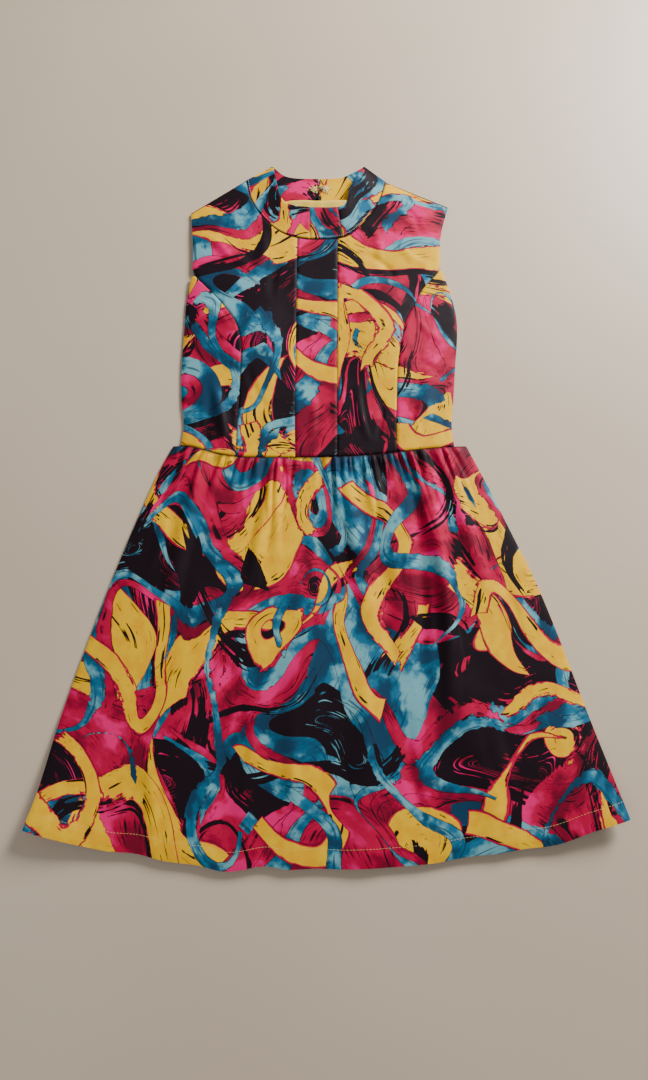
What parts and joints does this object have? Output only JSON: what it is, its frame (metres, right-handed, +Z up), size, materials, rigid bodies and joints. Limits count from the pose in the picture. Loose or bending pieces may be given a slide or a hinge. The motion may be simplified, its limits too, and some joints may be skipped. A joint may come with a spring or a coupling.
{
  "type": "party dress",
  "caption": "Sleeveless A-line party dress with a stand collar, princess seams, a gathered skirt and an abstract brush print, laid flat on its back.",
  "frame": {"origin": "middle of the laid-out dress, at the floor", "axes": "+Y from the hem to the collar, +X to the right of someone looking down on the front, +Z up from the floor"},
  "size_m": [0.646, 0.8389, 0.017],
  "materials": {
    "printed_crepe": "smooth polyester crepe with an abstract brush print in crimson, yellow, teal and dark aubergine, soft satin sheen",
    "facing": "pale yellow facing of the same crepe",
    "zip_tape": "dark woven zip tape with closed nylon teeth",
    "zip_slider": "dark enamelled slider",
    "hook_metal": "dull flat hook and wire eye"
  },
  "bodies": {
    "root": {"front_centre_panel": "printed_crepe", "front_panel_left": "printed_crepe", "front_panel_right": "printed_crepe", "side_front_left": "printed_crepe", "side_front_right": "printed_crepe", "back_bodice_left": "printed_crepe", "back_bodice_right": "printed_crepe", "collar_front_left": "printed_crepe", "collar_front_centre": "printed_crepe", "collar_front_right": "printed_crepe", "collar_back_left": "printed_crepe", "collar_back_right": "printed_crepe", "skirt_front": "printed_crepe", "skirt_back_left": "printed_crepe", "skirt_back_right": "printed_crepe", "collar_facing": "facing", "back_zip": "zip_tape", "zip_slider": "zip_slider", "collar_hook": "hook_metal", "collar_eye": "hook_metal"}
  },
  "joints": []
}
